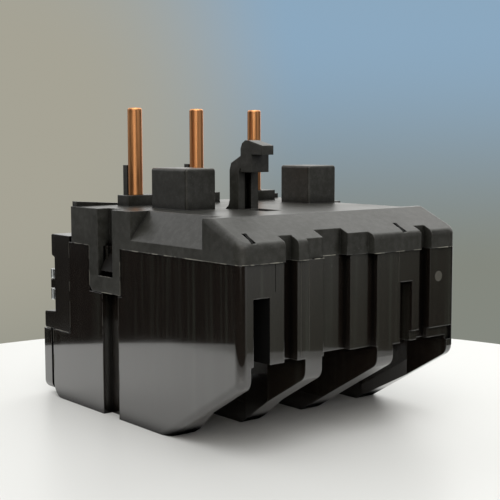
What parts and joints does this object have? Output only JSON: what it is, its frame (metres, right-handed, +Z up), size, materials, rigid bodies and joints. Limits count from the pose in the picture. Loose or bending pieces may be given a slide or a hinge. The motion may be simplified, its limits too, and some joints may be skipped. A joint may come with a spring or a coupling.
{
  "type": "thermal overload relay",
  "caption": "Plug-in thermal overload relay: sloped dark cover, copper line pins, latching hook, ribbed glossy base, dial, push buttons and box clamps.",
  "frame": {"origin": "centre of the bounding box's bottom face, on the standing plane", "axes": "+X across the poles towards pole 1, +Y from the control panel to the rear, +Z up along the line pins"},
  "size_m": [0.07, 0.0878, 0.0782],
  "materials": {
    "base_plastic": "polished moulded polyamide",
    "cover_plastic": "fine satin moulded texture",
    "panel_plastic": "fine satin moulded texture",
    "clear_plastic": "clear polycarbonate",
    "steel": "bright drawn",
    "plated_steel": "zinc plated",
    "copper": "drawn copper",
    "brass": "stamped",
    "bimetal": "rolled strip",
    "heater_ribbon": "oxidised nickel-chrome",
    "dial_plastic": "satin",
    "reset_plastic": "satin",
    "stop_plastic": "satin",
    "indicator_plastic": "satin",
    "mechanism_plastic": "satin"
  },
  "bodies": {
    "housing": {"base_housing": "base_plastic", "top_cover": "cover_plastic", "front_panel": "panel_plastic", "terminal_shroud": "base_plastic", "cover_hinge_pin": "steel", "reset_spring": "steel", "stop_spring": "steel", "compensation_pivot": "steel", "trip_pivot": "steel", "line_pin_1": "copper", "line_pin_2": "copper", "line_pin_3": "copper", "heater_winding_1": "heater_ribbon", "heater_winding_2": "heater_ribbon", "heater_winding_3": "heater_ribbon", "load_strap_1": "copper", "load_strap_2": "copper", "load_strap_3": "copper", "aux_terminal_1": "brass", "aux_terminal_2": "brass", "aux_terminal_3": "brass", "aux_terminal_4": "brass"},
    "lid": {"sealing_cover": "clear_plastic"},
    "dial": {"current_dial": "dial_plastic"},
    "reset": {"reset_button": "reset_plastic"},
    "stop": {"stop_button": "stop_plastic"},
    "main_bar": {"main_slider": "mechanism_plastic"},
    "differential_bar": {"differential_slider": "mechanism_plastic"},
    "crank": {"compensation_lever": "mechanism_plastic"},
    "trip": {"trip_lever": "mechanism_plastic", "trip_indicator": "indicator_plastic", "moving_contact": "brass"},
    "strip_1": {"bimetal_1": "bimetal"},
    "cage_1": {"terminal_cage_1": "plated_steel"},
    "screw_1": {"terminal_screw_1": "plated_steel"},
    "strip_2": {"bimetal_2": "bimetal"},
    "cage_2": {"terminal_cage_2": "plated_steel"},
    "screw_2": {"terminal_screw_2": "plated_steel"},
    "strip_3": {"bimetal_3": "bimetal"},
    "cage_3": {"terminal_cage_3": "plated_steel"},
    "screw_3": {"terminal_screw_3": "plated_steel"},
    "clamp_1": {"aux_washer_1": "plated_steel"},
    "clamp_screw_1": {"aux_screw_1": "plated_steel"},
    "clamp_2": {"aux_washer_2": "plated_steel"},
    "clamp_screw_2": {"aux_screw_2": "plated_steel"},
    "clamp_3": {"aux_washer_3": "plated_steel"},
    "clamp_screw_3": {"aux_screw_3": "plated_steel"},
    "clamp_4": {"aux_washer_4": "plated_steel"},
    "clamp_screw_4": {"aux_screw_4": "plated_steel"}
  },
  "joints": [
    {"name": "lid_hinge", "type": "hinge", "parent": "housing", "child": "lid", "pos_m": [0.0332, -0.03905, 0.0308], "axis": [0, 0, 1], "range_deg": [0, 120]},
    {"name": "dial_turn", "type": "hinge", "parent": "housing", "child": "dial", "pos_m": [0.0245, -0.03395, 0.0306], "axis": [0, 1, 0], "range_deg": [-135, 135]},
    {"name": "reset_press", "type": "slide", "parent": "housing", "child": "reset", "axis": [0, 1, 0], "range_m": [0, 0.0023], "stiffness_N_per_m": 600, "springref_m": -0.0008, "deforming": ["reset_spring"]},
    {"name": "stop_press", "type": "slide", "parent": "housing", "child": "stop", "axis": [0, 1, 0], "range_m": [0, 0.0023], "stiffness_N_per_m": 600, "springref_m": -0.0008, "deforming": ["stop_spring"]},
    {"name": "main_shift", "type": "slide", "parent": "housing", "child": "main_bar", "axis": [1, 0, 0], "range_m": [0, 0.002]},
    {"name": "differential_shift", "type": "slide", "parent": "housing", "child": "differential_bar", "axis": [1, 0, 0], "range_m": [0, 0.002]},
    {"name": "strip_bend_1", "type": "hinge", "parent": "housing", "child": "strip_1", "pos_m": [0.02, 0.02555, 0.032], "axis": [0, 0, 1], "range_deg": [0, 3.39]},
    {"name": "strip_bend_2", "type": "hinge", "parent": "housing", "child": "strip_2", "pos_m": [0, 0.02555, 0.032], "axis": [0, 0, 1], "range_deg": [0, 3.39]},
    {"name": "strip_bend_3", "type": "hinge", "parent": "housing", "child": "strip_3", "pos_m": [-0.02, 0.02555, 0.032], "axis": [0, 0, 1], "range_deg": [0, 3.39]},
    {"name": "crank_turn", "type": "hinge", "parent": "housing", "child": "crank", "pos_m": [0.0272, -0.01695, 0.033], "axis": [0, 0, 1], "range_deg": [-15.65, 0]},
    {"name": "trip_turn", "type": "hinge", "parent": "housing", "child": "trip", "pos_m": [0.008, -0.01595, 0.03], "axis": [0, 0, 1], "range_deg": [0, 3.95]},
    {"name": "cage_rise_1", "type": "slide", "parent": "housing", "child": "cage_1", "axis": [0, -1, 0], "range_m": [0, 0.0044]},
    {"name": "screw_turn_1", "type": "hinge", "parent": "housing", "child": "screw_1", "pos_m": [0.02, -0.03395, 0.0102], "axis": [0, 1, 0], "range_deg": [0, 1980.1]},
    {"name": "cage_rise_2", "type": "slide", "parent": "housing", "child": "cage_2", "axis": [0, -1, 0], "range_m": [0, 0.0044]},
    {"name": "screw_turn_2", "type": "hinge", "parent": "housing", "child": "screw_2", "pos_m": [0, -0.03395, 0.0102], "axis": [0, 1, 0], "range_deg": [0, 1980.1]},
    {"name": "cage_rise_3", "type": "slide", "parent": "housing", "child": "cage_3", "axis": [0, -1, 0], "range_m": [0, 0.0044]},
    {"name": "screw_turn_3", "type": "hinge", "parent": "housing", "child": "screw_3", "pos_m": [-0.02, -0.03395, 0.0102], "axis": [0, 1, 0], "range_deg": [0, 1980.1]},
    {"name": "clamp_press_1", "type": "slide", "parent": "housing", "child": "clamp_1", "axis": [0, 1, 0], "range_m": [0, 0.002]},
    {"name": "clamp_screw_turn_1", "type": "hinge", "parent": "clamp_1", "child": "clamp_screw_1", "pos_m": [-0.0065, -0.03395, 0.03], "axis": [0, 1, 0], "range_deg": [0, 1200.1]},
    {"name": "clamp_press_2", "type": "slide", "parent": "housing", "child": "clamp_2", "axis": [0, 1, 0], "range_m": [0, 0.002]},
    {"name": "clamp_screw_turn_2", "type": "hinge", "parent": "clamp_2", "child": "clamp_screw_2", "pos_m": [-0.014, -0.03395, 0.03], "axis": [0, 1, 0], "range_deg": [0, 1200.1]},
    {"name": "clamp_press_3", "type": "slide", "parent": "housing", "child": "clamp_3", "axis": [0, 1, 0], "range_m": [0, 0.002]},
    {"name": "clamp_screw_turn_3", "type": "hinge", "parent": "clamp_3", "child": "clamp_screw_3", "pos_m": [-0.0215, -0.03395, 0.03], "axis": [0, 1, 0], "range_deg": [0, 1200.1]},
    {"name": "clamp_press_4", "type": "slide", "parent": "housing", "child": "clamp_4", "axis": [0, 1, 0], "range_m": [0, 0.002]},
    {"name": "clamp_screw_turn_4", "type": "hinge", "parent": "clamp_4", "child": "clamp_screw_4", "pos_m": [-0.029, -0.03395, 0.03], "axis": [0, 1, 0], "range_deg": [0, 1200.1]}
  ],
  "couplings": [
    {"joint": "differential_shift", "follows": "main_shift", "ratio": 1},
    {"joint": "strip_bend_1", "follows": "main_shift", "rad_per_m": 29.412},
    {"joint": "strip_bend_2", "follows": "main_shift", "rad_per_m": 29.412},
    {"joint": "strip_bend_3", "follows": "main_shift", "rad_per_m": 29.412},
    {"joint": "crank_turn", "follows": "main_shift", "rad_per_m": -136},
    {"joint": "trip_turn", "follows": "main_shift", "rad_per_m": 34},
    {"joint": "screw_turn_1", "follows": "cage_rise_1", "rad_per_m": 7854},
    {"joint": "screw_turn_2", "follows": "cage_rise_2", "rad_per_m": 7854},
    {"joint": "screw_turn_3", "follows": "cage_rise_3", "rad_per_m": 7854},
    {"joint": "clamp_screw_turn_1", "follows": "clamp_press_1", "rad_per_m": 10472},
    {"joint": "clamp_screw_turn_2", "follows": "clamp_press_2", "rad_per_m": 10472},
    {"joint": "clamp_screw_turn_3", "follows": "clamp_press_3", "rad_per_m": 10472},
    {"joint": "clamp_screw_turn_4", "follows": "clamp_press_4", "rad_per_m": 10472}
  ]
}
